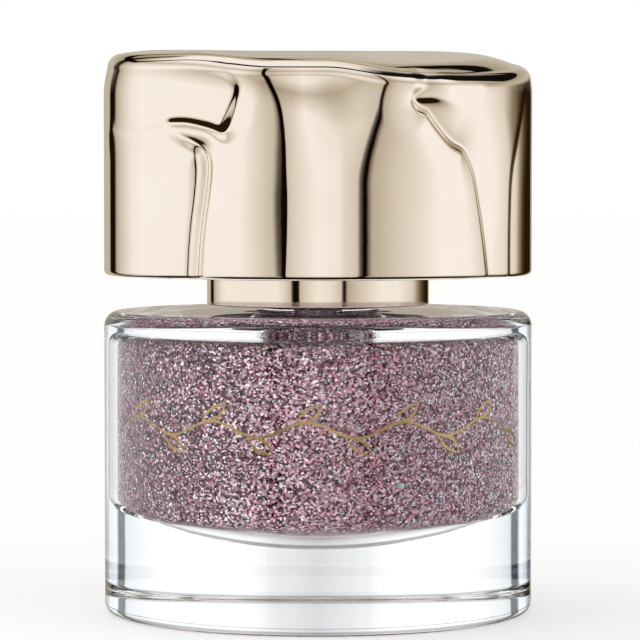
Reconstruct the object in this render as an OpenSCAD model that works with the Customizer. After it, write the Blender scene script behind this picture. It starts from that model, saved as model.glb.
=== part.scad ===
/* [Glass bottle] */
// Outer diameter of the round glass bottle
glass_d = 47; // [46:0.1:48]
// Height of the flat glass shoulder above the base
shoulder_h = 33.1; // [33:0.1:34]
// Thickness of the clear glass base under the polish
base_t = 7.5; // [7:0.1:9]
// Thickness of the glass between the chamber and the shoulder
shoulder_t = 2.7; // [2.5:0.1:3]
// Diameter of the chamber that holds the polish
chamber_d = 30.9; // [30:0.1:32]
// Radius of the chamber's bowl-shaped floor
chamber_bowl_r = 35; // [32:1:50]
// Radius between the chamber's wall and its floor
chamber_floor_r = 2; // [1.5:0.1:3]
// Radius between the chamber's wall and its ceiling
chamber_roof_r = 1.2; // [0.8:0.1:1.5]
// Rounding of the outer edge at the base
base_edge_r = 1.2; // [0.8:0.1:1.5]
// Rounding of the outer edge at the shoulder
shoulder_edge_r = 1.6; // [1:0.1:2]
// Height of the hollow under the base
punt_h = 0.4; // [0.3:0.05:0.6]

/* [Screw neck] */
// Height of the neck above the shoulder
neck_h = 11.5; // [11.4:0.1:11.6]
// Diameter over the neck's thread
thread_d = 14.6; // [14.5:0.05:14.6]
// Diameter of the neck under its thread
neck_d = 13; // [12.9:0.1:13.1]
// Diameter of the pouring bore
neck_bore_d = 8.6; // [8:0.1:9]
// Rise of the thread in one turn
thread_pitch = 2.117; // [2.117]
// Number of turns of thread on the neck
thread_turns = 2; // [1.75:0.25:2]

/* [Brush cap] */
// Outer diameter of the gold sleeve on the brush cap
sleeve_d = 24.4; // [24.2:0.1:24.6]
// Wall of the gold sleeve
sleeve_t = 0.5; // [0.4:0.05:0.6]
// Gap between the sleeve and the glass shoulder
sleeve_gap = 0.7; // [0.5:0.05:0.8]
// Height of the gold sleeve
sleeve_h = 12.2; // [12:0.1:12.4]
// Height of the top of the brush cap above the base
brush_cap_top = 51; // [50.8:0.1:51]
// Number of grip ribs round the top of the brush cap
grip_ribs = 36; // [24:4:40]

/* [Brush] */
// Diameter of the stem at its top
stem_d = 4; // [3.6:0.1:4]
// Diameter of the stem at its lower end
stem_tip_d = 3.2; // [3:0.1:3.4]
// Length of the stem below its flange
stem_len = 20.7; // [20:0.1:21]
// Length of the bristles that stand out of the stem
tuft_len = 14.5; // [14:0.1:14.5]
// Largest diameter of the bristles
tuft_d = 3.4; // [3.2:0.1:3.5]
// Diameter of each mixing ball
ball_d = 4; // [3.5:0.1:4]

/* [Overcap] */
// Height of the overcap's lower rim above the base
overcap_z = 37.1; // [36.9:0.1:37.3]
// Greatest height of the overcap above its lower rim
overcap_h = 25; // [24.8:0.1:25.2]
// Rounding between the overcap's side and its top
overcap_edge_r = 1.6; // [1.2:0.1:2]
// Diameter of the hollow inside the overcap
overcap_bore_d = 37.6; // [37:0.1:38]
// Depth of the hollow inside the overcap
overcap_bore_h = 16.5; // [16.4:0.1:16.6]
// Thickness of the steel disc that weighs the overcap down
weight_t = 2; // [1.8:0.1:2]
// Number of stiffening ribs in the insert
insert_ribs = 12; // [8:1:16]

/* [Hidden] */

gold = "#d9c9ae";
round_fn = 96;
arc_steps = 8;

// Bottle
glass_r = glass_d / 2;
chamber_r = chamber_d / 2;
chamber_top = shoulder_h - shoulder_t;
// The bowl's arc runs into the corner's arc at this angle from the outward direction
bowl_z = base_t + chamber_bowl_r;
corner_r = chamber_r - chamber_floor_r;
corner_reach = chamber_bowl_r - chamber_floor_r;
corner_z = bowl_z - sqrt(corner_reach ^ 2 - corner_r ^ 2);
bowl_edge_angle = -acos(corner_r / corner_reach);
punt_r = 18;
punt_side = 1.5;
neck_r = neck_d / 2;
neck_bore_r = neck_bore_d / 2;
neck_top = shoulder_h + neck_h;
neck_lip_r = 0.5;
bead_r = neck_r + 1.1;
bead_z = shoulder_h + 1.1;
bead_half_h = 0.8;

// Thread: both threads share one pitch and one profile, and clear each other by thread_clear
thread_clear = 0.08;
thread_root_w = 1.1;
thread_crest_w = 0.5;
thread_bite = 0.25;
thread_segments = 36;
thread_z = shoulder_h + 4.9;
cap_thread_turns = 1.5;
cap_thread_z = thread_z + thread_pitch / 2;
cap_bore_r = 8.1;

// Polish: it leaves a well for the brush and a race for the mixing balls
polish_neck_level = shoulder_h - 0.2;
brush_well_r = stem_d / 2 + 0.3;
tuft_tip_gap = 0.4;
ball_r = ball_d / 2;
ball_lift = 0.03;
ball_race_r = 5.2;
ball_race_gap = 0.12;
ball_z = bowl_z - sqrt((chamber_bowl_r - ball_r - ball_lift) ^ 2 - ball_race_r ^ 2);

// Liner, flange and stem
liner_t = 0.9;
liner_r = 7.2;
liner_hole_r = stem_d / 2 + 0.15;
flange_z = neck_top + liner_t;
flange_t = 1;
flange_r = 7.2;
barb_r = 2.6;
barb_h = 3;
barb_z = flange_z + flange_t;
stem_bottom = flange_z - stem_len;
tuft_bottom = stem_bottom - tuft_len;
tuft_socket_h = 3;
tuft_socket_r = 1.1;
anchor_w = 1.8;
anchor_h = 2;
anchor_t = 0.25;

// Brush cap
sleeve_z = shoulder_h + sleeve_gap;
sleeve_r = sleeve_d / 2;
cap_core_r = sleeve_r - sleeve_t;
cap_bottom = sleeve_z + 0.15;
grip_r = sleeve_r - 0.35;
grip_groove_r = 0.32;
cap_tube_r = 9.3;
cap_web_z = brush_cap_top - 2.4;
cap_ribs = 8;
cap_rib_t = 0.9;
cap_top_t = 1.2;
cap_edge_r = 0.9;
cap_chamber_top = brush_cap_top - cap_top_t;

// Overcap
overcap_bore_r = overcap_bore_d / 2;
overcap_ceiling = overcap_z + overcap_bore_h;
insert_clear = 0.08;
insert_recess = 0.3;
insert_wall = 1.2;
insert_sleeve_r = sleeve_r + insert_clear;
insert_sleeve_h = 9.6;
insert_outer_r = overcap_bore_r;
insert_z = overcap_z + insert_recess;
insert_top = overcap_ceiling - weight_t;
insert_rib_t = 1;
weight_r = overcap_bore_r - 0.05;

// Relief of the overcap's wall. A place on the wall is [azimuth, height]: azimuth in degrees
// from the front (-Y), positive towards +X, and height in mm above the lower rim. Each fold
// is a valley along a line of [azimuth, height, depth], and the wall comes back to full
// radius over a reach on the line's left hand and another on its right hand.
mm_per_degree = glass_r * PI / 180;
fold_flap = [
    [-40, 22.3, 0], [-26.3, 22, 0.2], [-20.5, 20, 0.3], [-21, 18.6, 0.4], [-24.4, 15.7, 0.75],
    [-26.2, 15.3, 0.75], [-36.3, 16.3, 0.55], [-43.5, 16.2, 0.15]
];
fold_crease = [
    [-43.8, 16, 0.1], [-38.2, 14.9, 0.9], [-33.7, 14.1, 1.3], [-31.1, 11.5, 1.6],
    [-33.1, 6, 1.6], [-34.6, 0, 1.6]
];
fold_knot = [
    [37, 21.4, 0.1], [27.6, 19.5, 0.9], [26.4, 18.9, 1], [30.6, 17.7, 1.05], [38.1, 14.6, 1.05],
    [43.1, 13.6, 1.05], [46.8, 11.4, 1], [48.8, 8.2, 0.85], [52, 0, 0.5]
];
fold_edge = [[72, 19, 0.1], [67.5, 14.5, 0.3], [64, 10.5, 0.4], [62.8, 0, 0.4]];
fold_side = [[-100, 21, 0.2], [-97, 15, 0.7], [-99, 9, 1.1], [-104, 5, 1.2], [-107, 0, 1.2]];
fold_back_left = [
    [-134, 22, 0.2], [-127, 19.5, 0.5], [-125, 15, 1], [-132, 12.5, 0.9], [-141, 12, 0.4],
    [-138, 9.5, 0.8], [-133, 5, 1.5], [-134, 0, 1.6]
];
fold_back_right = [
    [108, 20, 0.6], [104, 16, 1.2], [110, 12, 1.2], [121, 10, 1], [127, 6, 0.8], [128, 0, 0.6]
];
fold_back_mid = [[170, 0, 1.3], [166, 6, 1.3], [157, 11, 1.2], [154, 16, 0.9], [160, 20.5, 0.3]];
// Line, reach on its left hand, reach on its right hand
folds = [
    [fold_flap, 2.4, 1.5],
    [fold_crease, 5, 3.2],
    [fold_knot, 7.5, 3.2],
    [fold_edge, 3.5, 1.8],
    [fold_side, 4.5, 4.5],
    [fold_back_left, 5, 4],
    [fold_back_right, 4.5, 4.5],
    [fold_back_mid, 4, 5]
];
// The smooth column between the two front folds leans back from this height upwards
lean_azimuth = 2;
lean_depth = 1.45;
lean_half_w = 8;
lean_from = 11;
lean_to = 22;

// Top of the overcap: lower at the front than at the back, and lower again in two steps
// towards the right
top_drop = 0.9;
top_drop_middle = 0.75;
top_drop_right = 0.8;
top_drop_from = 17;
top_drop_to = -22;
// Fall of the top surface towards its edge, which grows towards the right
top_crown = 0.5;
top_crown_right = 0.9;
top_crown_reach = 8;

// Mesh of the overcap
azimuth_steps = 96;
wall_steps = 18;
edge_steps = 3;
top_steps = 5;
foot_r = 0.6;

function smooth_step(low, high, x) = let(t = max(0, min(1, (x - low) / (high - low)))) t * t * (3 - 2 * t);

// Points of an arc in a profile, from one angle to another
function arc(centre, radius, from, to) = [
    for (i = [0 : arc_steps]) let(angle = from + (to - from) * i / arc_steps)
        centre + radius * [cos(angle), sin(angle)]
];

function without_first(points) = [for (i = [1 : len(points) - 1]) points[i]];

// Profile of the chamber: bowl, corner, wall, corner and ceiling, with the neck bore on top
function chamber_profile(top) = concat(
    arc([0, bowl_z], chamber_bowl_r, -90, bowl_edge_angle),
    without_first(arc([corner_r, corner_z], chamber_floor_r, bowl_edge_angle, 0)),
    arc([chamber_r - chamber_roof_r, chamber_top - chamber_roof_r], chamber_roof_r, 0, 90),
    [[neck_bore_r, chamber_top], [neck_bore_r, top], [0, top]]
);

// Solid helical ridge. Its root is buried in the wall and both ends fade out.
module helical_ridge(root_r, crest_r, turns) {
    count = round(thread_segments * turns);
    fade_steps = thread_segments / 4;
    rings = [
        for (i = [0 : count])
            let(
                angle = 360 * turns * i / count,
                rise = thread_pitch * turns * i / count,
                fade = max(0.1, min(1, i / fade_steps, (count - i) / fade_steps)),
                tip = root_r + (crest_r - root_r) * fade,
                profile = [
                    [root_r, -thread_root_w / 2], [tip, -thread_crest_w / 2],
                    [tip, thread_crest_w / 2], [root_r, thread_root_w / 2]
                ]
            )
            for (p = profile) [p.x * cos(angle), p.x * sin(angle), p.y + rise]
    ];
    sides = [
        for (i = [0 : count - 1], k = [0 : 3])
            let(a = 4 * i + k, b = 4 * i + (k + 1) % 4)
            for (face = [[a, b, b + 4], [a, b + 4, a + 4]]) face
    ];
    last = 4 * count;
    ends = [[3, 2, 1, 0], [last, last + 1, last + 2, last + 3]];
    outward = crest_r > root_r;
    faces = concat(sides, ends);
    polyhedron(rings, outward ? faces : [for (f = faces) [for (i = [len(f) - 1 : -1 : 0]) f[i]]]);
}

module glass_bottle() {
    body = concat(
        [[0, punt_h], [punt_r, punt_h], [punt_r + punt_side, 0]],
        arc([glass_r - base_edge_r, base_edge_r], base_edge_r, -90, 0),
        arc([glass_r - shoulder_edge_r, shoulder_h - shoulder_edge_r], shoulder_edge_r, 0, 90),
        [
            [neck_r, shoulder_h], [neck_r, bead_z - bead_half_h], [bead_r, bead_z - bead_half_h / 2],
            [bead_r, bead_z + bead_half_h / 2], [neck_r, bead_z + bead_half_h]
        ],
        arc([neck_r - neck_lip_r, neck_top - neck_lip_r], neck_lip_r, 0, 90),
        [[0, neck_top]]
    );
    color("#dfe9ee", 0.35)
        difference() {
            union() {
                rotate_extrude($fn = round_fn) polygon(body);
                translate([0, 0, thread_z])
                    helical_ridge(neck_r - thread_bite, thread_d / 2, thread_turns);
            }
            rotate_extrude($fn = round_fn) polygon(chamber_profile(neck_top + 1));
        }
}

module polish_fill() {
    color("#a07c8c")
        difference() {
            rotate_extrude($fn = round_fn) polygon(chamber_profile(polish_neck_level));
            translate([0, 0, tuft_bottom - tuft_tip_gap])
                cylinder(r = brush_well_r, h = neck_h + shoulder_h, $fn = round_fn);
            translate([0, 0, ball_z])
                rotate_extrude($fn = round_fn)
                    translate([ball_race_r, 0])
                        circle(r = ball_r + ball_race_gap, $fn = 48);
        }
}

module mixing_balls() {
    color("#b9bcc0")
        for (side = [-1, 1])
            translate([side * ball_race_r, 0, ball_z])
                sphere(d = ball_d, $fn = 48);
}

module seal_liner() {
    color("#f2f2ee")
        translate([0, 0, neck_top])
            difference() {
                cylinder(r = liner_r, h = liner_t, $fn = round_fn);
                translate([0, 0, -1])
                    cylinder(r = liner_hole_r, h = liner_t + 2, $fn = round_fn);
            }
}

module cap_collar() {
    color(gold)
        rotate_extrude($fn = round_fn)
            polygon([
                [sleeve_r - sleeve_t + 0.02, sleeve_z], [sleeve_r - 0.15, sleeve_z], [sleeve_r, sleeve_z + 0.15],
                [sleeve_r, sleeve_z + sleeve_h], [sleeve_r - sleeve_t + 0.02, sleeve_z + sleeve_h]
            ]);
}

// Radial ribs that tie two coaxial walls together
module radial_ribs(count, thickness, inner_r, outer_r, z, height) {
    for (i = [0 : count - 1])
        rotate([0, 0, 360 * i / count])
            translate([inner_r, -thickness / 2, z])
                cube([outer_r - inner_r, thickness, height]);
}

module brush_cap() {
    overlap = 0.3;
    socket_r = barb_r + 0.9;
    outline = concat(
        [
            [0, cap_bottom], [cap_core_r - 0.05, cap_bottom], [cap_core_r - 0.05, sleeve_z + sleeve_h + 0.1],
            [grip_r, sleeve_z + sleeve_h + 0.1]
        ],
        arc([grip_r - cap_edge_r, brush_cap_top - cap_edge_r], cap_edge_r, 0, 90),
        [[0, brush_cap_top]]
    );
    color("#2b2a2c") {
        difference() {
            rotate_extrude($fn = round_fn) polygon(outline);
            // Threaded bore, with the flange chamber above it
            translate([0, 0, cap_bottom - 1])
                cylinder(r = cap_bore_r, h = cap_chamber_top - cap_bottom + 1, $fn = round_fn);
            // Hollow between the threaded tube and the outer wall
            difference() {
                translate([0, 0, cap_bottom - 1])
                    cylinder(r = cap_core_r - 1.1, h = cap_web_z - cap_bottom + 1, $fn = round_fn);
                translate([0, 0, cap_bottom - 2])
                    cylinder(r = cap_tube_r, h = cap_web_z - cap_bottom + 4, $fn = round_fn);
                radial_ribs(
                    cap_ribs, cap_rib_t, cap_tube_r - overlap, cap_core_r, cap_bottom + 1,
                    cap_web_z - cap_bottom
                );
            }
            // Grooves between the grip ribs
            for (i = [0 : grip_ribs - 1])
                rotate([0, 0, 360 * i / grip_ribs])
                    translate([grip_r + 0.1, 0, sleeve_z + sleeve_h + 0.7])
                        cylinder(r = grip_groove_r, h = 3.1, $fn = 16);
        }
        // Socket that grips the top of the stem
        difference() {
            translate([0, 0, barb_z + 0.05])
                cylinder(r = socket_r, h = cap_chamber_top - barb_z + overlap, $fn = round_fn);
            translate([0, 0, barb_z])
                cylinder(r = barb_r, h = barb_h + 0.1, $fn = round_fn);
        }
        translate([0, 0, cap_thread_z])
            helical_ridge(cap_bore_r + thread_bite, thread_d / 2 + thread_clear, cap_thread_turns);
    }
}

// Profile of the stem, its flange and the plug that sits in the cap's socket
module brush_stem() {
    color("#ececea")
        difference() {
            rotate_extrude($fn = round_fn)
                polygon([
                    [0, stem_bottom], [stem_tip_d / 2 - 0.3, stem_bottom], [stem_tip_d / 2, stem_bottom + 0.4],
                    [stem_d / 2, stem_bottom + stem_len * 0.55], [stem_d / 2, flange_z], [flange_r, flange_z],
                    [flange_r, barb_z], [barb_r, barb_z], [barb_r, barb_z + barb_h - 0.5],
                    [barb_r - 0.5, barb_z + barb_h], [0, barb_z + barb_h]
                ]);
            translate([0, 0, stem_bottom - 1])
                cylinder(r = tuft_socket_r, h = tuft_socket_h + 1, $fn = round_fn);
        }
}

module brush_tuft() {
    tip_r = 0.9;
    belly_z = tuft_bottom + tuft_len * 0.35;
    socket_top = stem_bottom + tuft_socket_h;
    outline = concat(
        [[0, tuft_bottom]],
        arc([0, tuft_bottom + tip_r], tip_r, -80, 0),
        [
            [tuft_d * 0.4, tuft_bottom + 2.5], [tuft_d / 2, belly_z], [tuft_d / 2 - 0.15, belly_z + 4],
            [tuft_socket_r, stem_bottom], [tuft_socket_r, socket_top], [0, socket_top]
        ]
    );
    color("#3a3034")
        difference() {
            rotate_extrude($fn = round_fn) polygon(outline);
            anchor_plate();
        }
}

// Folded wire plate that pins the bristles in the stem
module anchor_plate() {
    translate([-anchor_w / 2, -anchor_t / 2, stem_bottom + 0.6])
        cube([anchor_w, anchor_t, anchor_h]);
}

module tuft_anchor() {
    color("#c8b070") anchor_plate();
}

// Nearest of a fold's segments to a place on the wall: [ranking, signed distance, depth]
function nearest(place, line) =
    let(
        here = [place.x * mm_per_degree, place.y],
        rows = [
            for (i = [0 : len(line) - 2])
                let(
                    a = [line[i].x * mm_per_degree, line[i].y],
                    b = [line[i + 1].x * mm_per_degree, line[i + 1].y],
                    ab = b - a,
                    ap = here - a,
                    along = max(0, min(1, ap * ab / (ab * ab))),
                    distance = norm(ap - along * ab),
                    side = (ab.x * ap.y - ab.y * ap.x) / norm(ab),
                    depth = line[i].z + (line[i + 1].z - line[i].z) * along
                )
                [distance - abs(side) / 1000, side < 0 ? -distance : distance, depth]
        ],
        best = min([for (row = rows) row[0]])
    )
    [for (row = rows) if (row[0] == best) row][0];

function fold_dip(place, fold) =
    let(
        near = nearest(place, fold[0]),
        reach = near[1] > 0 ? fold[1] : fold[2],
        part = max(0, 1 - abs(near[1]) / reach)
    )
    near[2] * part * part;

function total(list, i = 0) = i < len(list) ? list[i] + total(list, i + 1) : 0;

function lean_dip(place) =
    let(
        across = (place.x - lean_azimuth) * mm_per_degree / lean_half_w,
        rise = max(0, (place.y - lean_from) / (lean_to - lean_from))
    )
    lean_depth * rise ^ 3 * exp(-across * across);

// Depth of the wall's surface under the full radius
function wall_dip(place) = lean_dip(place) + total([for (fold = folds) fold_dip(place, fold)]);

// Height of the top surface above the overcap's lower rim
function top_height(x, y) =
    let(
        middle = top_drop_middle * smooth_step(-14, -5, x),
        drop = top_drop + middle + top_drop_right * smooth_step(1, 9, x),
        crown = top_crown + top_crown_right * smooth_step(0, 18, x),
        edge = smooth_step(glass_r - top_crown_reach, glass_r, norm([x, y]))
    )
    overcap_h - drop * smooth_step(top_drop_from, top_drop_to, y) - crown * edge * edge;

function at_azimuth(azimuth, r, z) = [r * sin(azimuth), -r * cos(azimuth), z];

// Points up the wall and over the top at one azimuth
function overcap_column(azimuth) =
    let(
        rim_guess_r = glass_r - overcap_edge_r,
        rim_h = top_height(rim_guess_r * sin(azimuth), -rim_guess_r * cos(azimuth)) - overcap_edge_r,
        rim_r = glass_r - wall_dip([azimuth, rim_h])
    )
    concat(
        [at_azimuth(azimuth, glass_r - wall_dip([azimuth, 0]) - foot_r, 0)],
        [
            for (i = [0 : wall_steps])
                let(h = foot_r + (rim_h - foot_r) * i / wall_steps)
                at_azimuth(azimuth, glass_r - wall_dip([azimuth, h]), h)
        ],
        [
            for (i = [1 : edge_steps])
                let(turn = 90 * i / edge_steps)
                at_azimuth(
                    azimuth, rim_r - overcap_edge_r * (1 - cos(turn)), rim_h + overcap_edge_r * sin(turn)
                )
        ],
        [
            for (i = [1 : top_steps - 1])
                let(
                    r = (rim_r - overcap_edge_r) * (1 - i / top_steps),
                    x = r * sin(azimuth),
                    y = -r * cos(azimuth)
                )
                [x, y, top_height(x, y)]
        ]
    );

// Closed outer form of the overcap: dented wall, rounded edge, sloping top, flat underside
module overcap_form() {
    columns = [for (i = [0 : azimuth_steps - 1]) overcap_column(360 * i / azimuth_steps - 180)];
    rows = len(columns[0]);
    centre = azimuth_steps * rows;
    points = concat([for (column = columns) for (p = column) p], [[0, 0, top_height(0, 0)]]);
    function index(column, row) = (column % azimuth_steps) * rows + row;
    wall = [
        for (i = [0 : azimuth_steps - 1], j = [0 : rows - 2])
            let(a = index(i, j), b = index(i + 1, j), c = index(i + 1, j + 1), d = index(i, j + 1))
            for (face = [[a, c, b], [a, d, c]]) face
    ];
    crown = [for (i = [0 : azimuth_steps - 1]) [index(i, rows - 1), centre, index(i + 1, rows - 1)]];
    underside = [[for (i = [0 : azimuth_steps - 1]) index(i, 0)]];
    polyhedron(points, concat(wall, crown, underside));
}

module overcap_shell() {
    color(gold)
        translate([0, 0, overcap_z])
            difference() {
                overcap_form();
                translate([0, 0, -1])
                    cylinder(r = overcap_bore_r, h = overcap_bore_h + 1, $fn = round_fn);
            }
}

module overcap_insert() {
    height = insert_top - insert_z;
    color("#d8d4cc") {
        // Outer wall
        translate([0, 0, insert_z])
            difference() {
                cylinder(r = insert_outer_r, h = height, $fn = round_fn);
                translate([0, 0, insert_wall])
                    cylinder(r = insert_outer_r - insert_wall, h = height, $fn = round_fn);
                translate([0, 0, -1])
                    cylinder(r = insert_sleeve_r, h = height + 2, $fn = round_fn);
            }
        // Sleeve that slides over the gold collar
        translate([0, 0, insert_z])
            difference() {
                cylinder(r = insert_sleeve_r + insert_wall, h = insert_sleeve_h, $fn = round_fn);
                translate([0, 0, -1])
                    cylinder(r = insert_sleeve_r, h = insert_sleeve_h + 2, $fn = round_fn);
            }
        radial_ribs(
            insert_ribs, insert_rib_t, insert_sleeve_r + insert_wall / 2, insert_outer_r - insert_wall / 2,
            insert_z + insert_wall / 2, insert_sleeve_h - insert_wall
        );
    }
}

module overcap_weight() {
    color("#9aa0a6")
        translate([0, 0, insert_top])
            cylinder(r = weight_r, h = weight_t, $fn = round_fn);
}

glass_bottle();
polish_fill();
mixing_balls();
seal_liner();
cap_collar();
brush_cap();
brush_stem();
brush_tuft();
tuft_anchor();
overcap_shell();
overcap_insert();
overcap_weight();
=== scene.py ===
import math

import bpy
import numpy as np
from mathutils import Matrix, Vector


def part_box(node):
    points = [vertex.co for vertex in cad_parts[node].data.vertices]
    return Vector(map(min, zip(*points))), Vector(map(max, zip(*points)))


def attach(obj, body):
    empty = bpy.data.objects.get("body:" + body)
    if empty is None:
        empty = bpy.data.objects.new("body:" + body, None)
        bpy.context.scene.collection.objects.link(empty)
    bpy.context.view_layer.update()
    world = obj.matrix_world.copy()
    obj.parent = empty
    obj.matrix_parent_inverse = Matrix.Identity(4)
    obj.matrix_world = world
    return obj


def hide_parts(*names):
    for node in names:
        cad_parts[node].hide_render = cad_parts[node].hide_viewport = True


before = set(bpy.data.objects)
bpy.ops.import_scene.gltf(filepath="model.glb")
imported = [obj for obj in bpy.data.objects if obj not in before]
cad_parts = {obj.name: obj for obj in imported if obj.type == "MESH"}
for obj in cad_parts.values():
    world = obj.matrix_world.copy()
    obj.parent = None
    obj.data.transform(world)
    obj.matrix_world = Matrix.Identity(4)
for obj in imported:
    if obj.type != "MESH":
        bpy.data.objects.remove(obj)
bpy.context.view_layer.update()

MM = 0.001


# ---------------------------------------------------------------- sizes, in metres, from the frame

def box_size(node):
    """Width of a CAD node, and the heights of its bottom and top."""
    low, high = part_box(node)
    return high.x - low.x, low.z, high.z


glass_width, _, neck_top = box_size("glass_bottle")
chamber_width, chamber_floor, polish_top = box_size("polish_fill")
collar_width, collar_bottom, collar_top = box_size("cap_collar")
overcap_width, overcap_bottom, overcap_top = box_size("overcap_shell")
_, _, weight_top = box_size("overcap_weight")

# The visible glass and overcap stay a hair inside the CAD box, so that the foil on the glass fits it too
SKIN = 0.012 * MM
GLASS_R = glass_width / 2 - SKIN
NECK_H = 11.5 * MM
NECK_R = 6.5 * MM
BORE_R = 4.3 * MM
SHOULDER_Z = neck_top - NECK_H
CHAMBER_R = chamber_width / 2
CHAMBER_TOP = SHOULDER_Z - 2.7 * MM
OVERCAP_R = overcap_width / 2 - SKIN
OVERCAP_H = overcap_top - overcap_bottom - SKIN
OVERCAP_BORE_R = 18.8 * MM
MM_PER_DEGREE = OVERCAP_R * math.pi / 180 / MM


# ---------------------------------------------------------------- mesh helpers

def mesh_piece(name, points, faces, material, sharp_angle=35):
    """A smooth-shaded mesh object with edges sharper than sharp_angle degrees kept crisp."""
    mesh = bpy.data.meshes.new(name)
    mesh.from_pydata([tuple(p) for p in points], [], [tuple(f) for f in faces])
    mesh.validate()
    mesh.polygons.foreach_set("use_smooth", [True] * len(mesh.polygons))
    mesh.set_sharp_from_angle(angle=math.radians(sharp_angle))
    mesh.update()
    piece = bpy.data.objects.new(name, mesh)
    bpy.context.scene.collection.objects.link(piece)
    mesh.materials.append(material)
    return piece


def strip_faces(rows, columns, close_rows=False, close_columns=True):
    """Quads between neighbouring rows of points that are stored row by row."""
    row_count = rows if close_rows else rows - 1
    column_count = columns if close_columns else columns - 1
    i, j = np.meshgrid(np.arange(row_count), np.arange(column_count), indexing="ij")
    i, j = i.ravel(), j.ravel()
    up = (i + 1) % rows
    side = (j + 1) % columns
    corners = (i * columns + j, i * columns + side, up * columns + side, up * columns + j)
    return np.stack(corners, axis=1)


def arc(centre_r, centre_z, radius, start, end, steps=10):
    """Profile points along an arc, with angles in degrees from the outward direction."""
    turns = np.radians(np.linspace(start, end, steps + 1))
    return [(centre_r + radius * math.cos(t), centre_z + radius * math.sin(t)) for t in turns]


def line(start, end, steps):
    """Profile points along a straight stretch, without its first point."""
    parts = np.linspace(0, 1, steps + 1)[1:]
    return [(start[0] + (end[0] - start[0]) * t, start[1] + (end[1] - start[1]) * t) for t in parts]


def lathe(name, profile, material, segments=192, shape=None, sharp_angle=35):
    """Revolves a profile of (radius, height). It either runs from axis to axis or is a closed loop.
    shape(radius, height, turn) may change the radius from point to point."""
    profile = np.array(profile, float)
    turns = np.linspace(0, 2 * math.pi, segments, endpoint=False)
    on_axis = profile[0, 0] < 1e-9 and profile[-1, 0] < 1e-9
    body = profile[1:-1] if on_axis else profile
    radius = np.repeat(body[:, :1], segments, axis=1)
    height = np.repeat(body[:, 1:], segments, axis=1)
    turn = np.tile(turns, (len(body), 1))
    if shape:
        radius = shape(radius, height, turn)
    rings = np.stack((radius * np.cos(turn), radius * np.sin(turn), height), axis=2).reshape(-1, 3)
    faces = [tuple(f) for f in strip_faces(len(body), segments, close_rows=not on_axis)]
    points = [tuple(p) for p in rings]
    if on_axis:
        first, last = len(points), len(points) + 1
        points += [(0, 0, profile[0, 1]), (0, 0, profile[-1, 1])]
        end = (len(body) - 1) * segments
        for j in range(segments):
            beside = (j + 1) % segments
            faces.append((first, beside, j))
            faces.append((last, end + j, end + beside))
    return mesh_piece(name, points, faces, material, sharp_angle)


def smooth_step(low, high, x):
    """Goes smoothly from 0 at low to 1 at high, which may be the smaller of the two."""
    t = np.clip((x - low) / (high - low), 0, 1)
    return t * t * (3 - 2 * t)


# ---------------------------------------------------------------- material helpers

class Shader:
    """A small builder for one node material."""

    def __init__(self, name):
        self.material = bpy.data.materials.new(name)
        self.material.use_nodes = True
        self.tree = self.material.node_tree
        self.surface = self.tree.nodes["Principled BSDF"]
        self.object_place = self.node("ShaderNodeTexCoord").outputs["Object"]

    def node(self, kind, **settings):
        made = self.tree.nodes.new(kind)
        for key, value in settings.items():
            if key in made.inputs:
                self.feed(made.inputs[key], value)
            else:
                setattr(made, key, value)
        return made

    def feed(self, socket, value):
        if isinstance(value, bpy.types.NodeSocket):
            self.tree.links.new(value, socket)
        else:
            socket.default_value = value

    def set(self, **inputs):
        for key, value in inputs.items():
            self.feed(self.surface.inputs[key.replace("_", " ")], value)

    def maths(self, operation, first, second=0.0):
        made = self.node("ShaderNodeMath", operation=operation)
        self.feed(made.inputs[0], first)
        self.feed(made.inputs[1], second)
        return made.outputs[0]

    def vector(self, operation, first, second=(0, 0, 0), scale=None):
        made = self.node("ShaderNodeVectorMath", operation=operation)
        self.feed(made.inputs[0], first)
        self.feed(made.inputs[1], second)
        if scale is not None:
            self.feed(made.inputs["Scale"], scale)
        return made.outputs[0]

    def noise(self, size, detail=3.0, place=None):
        """Noise whose features are about size metres across."""
        made = self.node("ShaderNodeTexNoise")
        self.feed(made.inputs["Vector"], place or self.object_place)
        made.inputs["Scale"].default_value = 1 / size
        made.inputs["Detail"].default_value = detail
        return made.outputs["Fac"]

    def ramp(self, factor, stops, interpolation="LINEAR"):
        made = self.node("ShaderNodeValToRGB")
        fill_ramp(made.color_ramp, stops, interpolation)
        self.feed(made.inputs["Fac"], factor)
        return made.outputs["Color"]

    def span(self, factor, low, high):
        """Maps 0 to 1 onto low to high."""
        made = self.node("ShaderNodeMapRange")
        self.feed(made.inputs["Value"], factor)
        made.inputs["To Min"].default_value = low
        made.inputs["To Max"].default_value = high
        return made.outputs["Result"]

    def bump(self, height, depth, strength=1.0):
        made = self.node("ShaderNodeBump")
        made.inputs["Strength"].default_value = strength
        made.inputs["Distance"].default_value = depth
        self.feed(made.inputs["Height"], height)
        return made.outputs["Normal"]


def fill_ramp(ramp, stops, interpolation):
    """Gives a colour ramp its stops of (place, colour)."""
    ramp.interpolation = interpolation
    while len(ramp.elements) < len(stops):
        ramp.elements.new(0.5)
    for element, (place, colour) in zip(ramp.elements, stops):
        element.position = place
        element.color = (*colour, 1)


# ---------------------------------------------------------------- materials

def gold_plating():
    """Mirror-bright champagne gold with the faint orange peel of a plated moulding."""
    shader = Shader("champagne_gold_plating")
    cloud = shader.noise(6 * MM)
    tint = shader.ramp(cloud, [(0.3, (0.925, 0.83, 0.725)), (0.7, (0.94, 0.85, 0.755))])
    shader.set(Base_Color=tint, Metallic=1.0, Roughness=shader.span(shader.noise(0.8 * MM), 0.015, 0.04))
    shader.set(Normal=shader.bump(shader.noise(1.4 * MM, 1.0), 0.0012 * MM))
    return shader.material


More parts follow.
